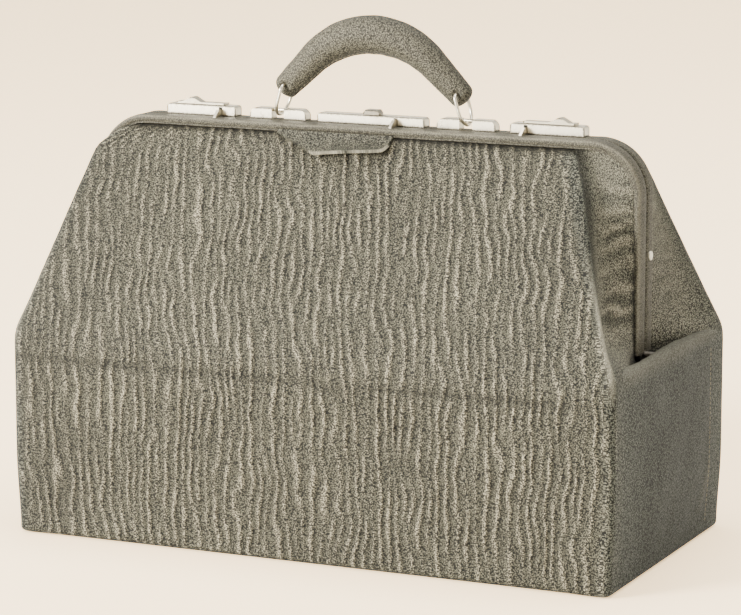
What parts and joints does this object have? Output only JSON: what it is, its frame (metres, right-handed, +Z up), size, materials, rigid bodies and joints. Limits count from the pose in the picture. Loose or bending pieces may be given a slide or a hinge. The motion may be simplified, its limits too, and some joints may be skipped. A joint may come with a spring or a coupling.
{
  "type": "carpet bag",
  "caption": "Frame-top leather travelling bag: deep tub, leaning sides on two hinged half-frames, arched handle on rings, sliding catches and a centre lock.",
  "frame": {"origin": "middle of the base, on the surface the bag stands on", "axes": "+X along the bag towards its right end, -Y out of the front with the pull tab, +Z up"},
  "size_m": [0.457, 0.226, 0.3765],
  "materials": {
    "grained_leather": "deep wrinkled grain, satin",
    "end_leather": "fine pebbled grain, satin",
    "binding_leather": "smooth, satin",
    "handle_leather": "fine grain, satin",
    "frame_steel": "dull steel",
    "plated_metal": "nickel plate, slightly dulled",
    "lining_cloth": "plain cotton drill",
    "base_card": "millboard"
  },
  "bodies": {
    "body": {"bottom_panel": "end_leather", "front_wall": "grained_leather", "rear_wall": "grained_leather", "left_end": "end_leather", "right_end": "end_leather", "base_board": "base_card", "lining": "lining_cloth", "left_hinge_rivet": "frame_steel", "right_hinge_rivet": "frame_steel"},
    "front_frame": {"front_frame_bar": "frame_steel", "front_frame_binding": "binding_leather", "front_panel": "grained_leather", "front_left_gusset": "end_leather", "front_right_gusset": "end_leather", "front_tab": "grained_leather", "left_catch_keeper": "plated_metal", "right_catch_keeper": "plated_metal", "lock_keeper": "plated_metal"},
    "rear_frame": {"rear_frame_bar": "frame_steel", "rear_frame_binding": "binding_leather", "rear_panel": "grained_leather", "rear_left_gusset": "end_leather", "rear_right_gusset": "end_leather", "leg_rivets": "plated_metal", "left_staple": "plated_metal", "right_staple": "plated_metal", "left_catch_case": "plated_metal", "right_catch_case": "plated_metal", "lock_case": "plated_metal"},
    "handle": {"handle_grip": "handle_leather", "left_ring": "plated_metal", "right_ring": "plated_metal"},
    "left_catch": {"left_catch_slide": "plated_metal"},
    "right_catch": {"right_catch_slide": "plated_metal"},
    "lock": {"lock_slide": "plated_metal"}
  },
  "joints": [
    {"name": "front_open", "type": "hinge", "parent": "body", "child": "front_frame", "pos_m": [0, 0, 0.148], "axis": [1, 0, 0], "range_deg": [0, 55]},
    {"name": "rear_open", "type": "hinge", "parent": "body", "child": "rear_frame", "pos_m": [0, 0, 0.148], "axis": [-1, 0, 0], "range_deg": [0, 55]},
    {"name": "handle_swing", "type": "hinge", "parent": "rear_frame", "child": "handle", "pos_m": [0, 0.00675, 0.3044], "axis": [1, 0, 0], "range_deg": [-40, 40]},
    {"name": "left_catch_slide", "type": "slide", "parent": "rear_frame", "child": "left_catch", "axis": [1, 0, 0], "range_m": [0, 0.008]},
    {"name": "right_catch_slide", "type": "slide", "parent": "rear_frame", "child": "right_catch", "axis": [-1, 0, 0], "range_m": [0, 0.008]},
    {"name": "lock_slide", "type": "slide", "parent": "rear_frame", "child": "lock", "axis": [1, 0, 0], "range_m": [0, 0.007]}
  ]
}
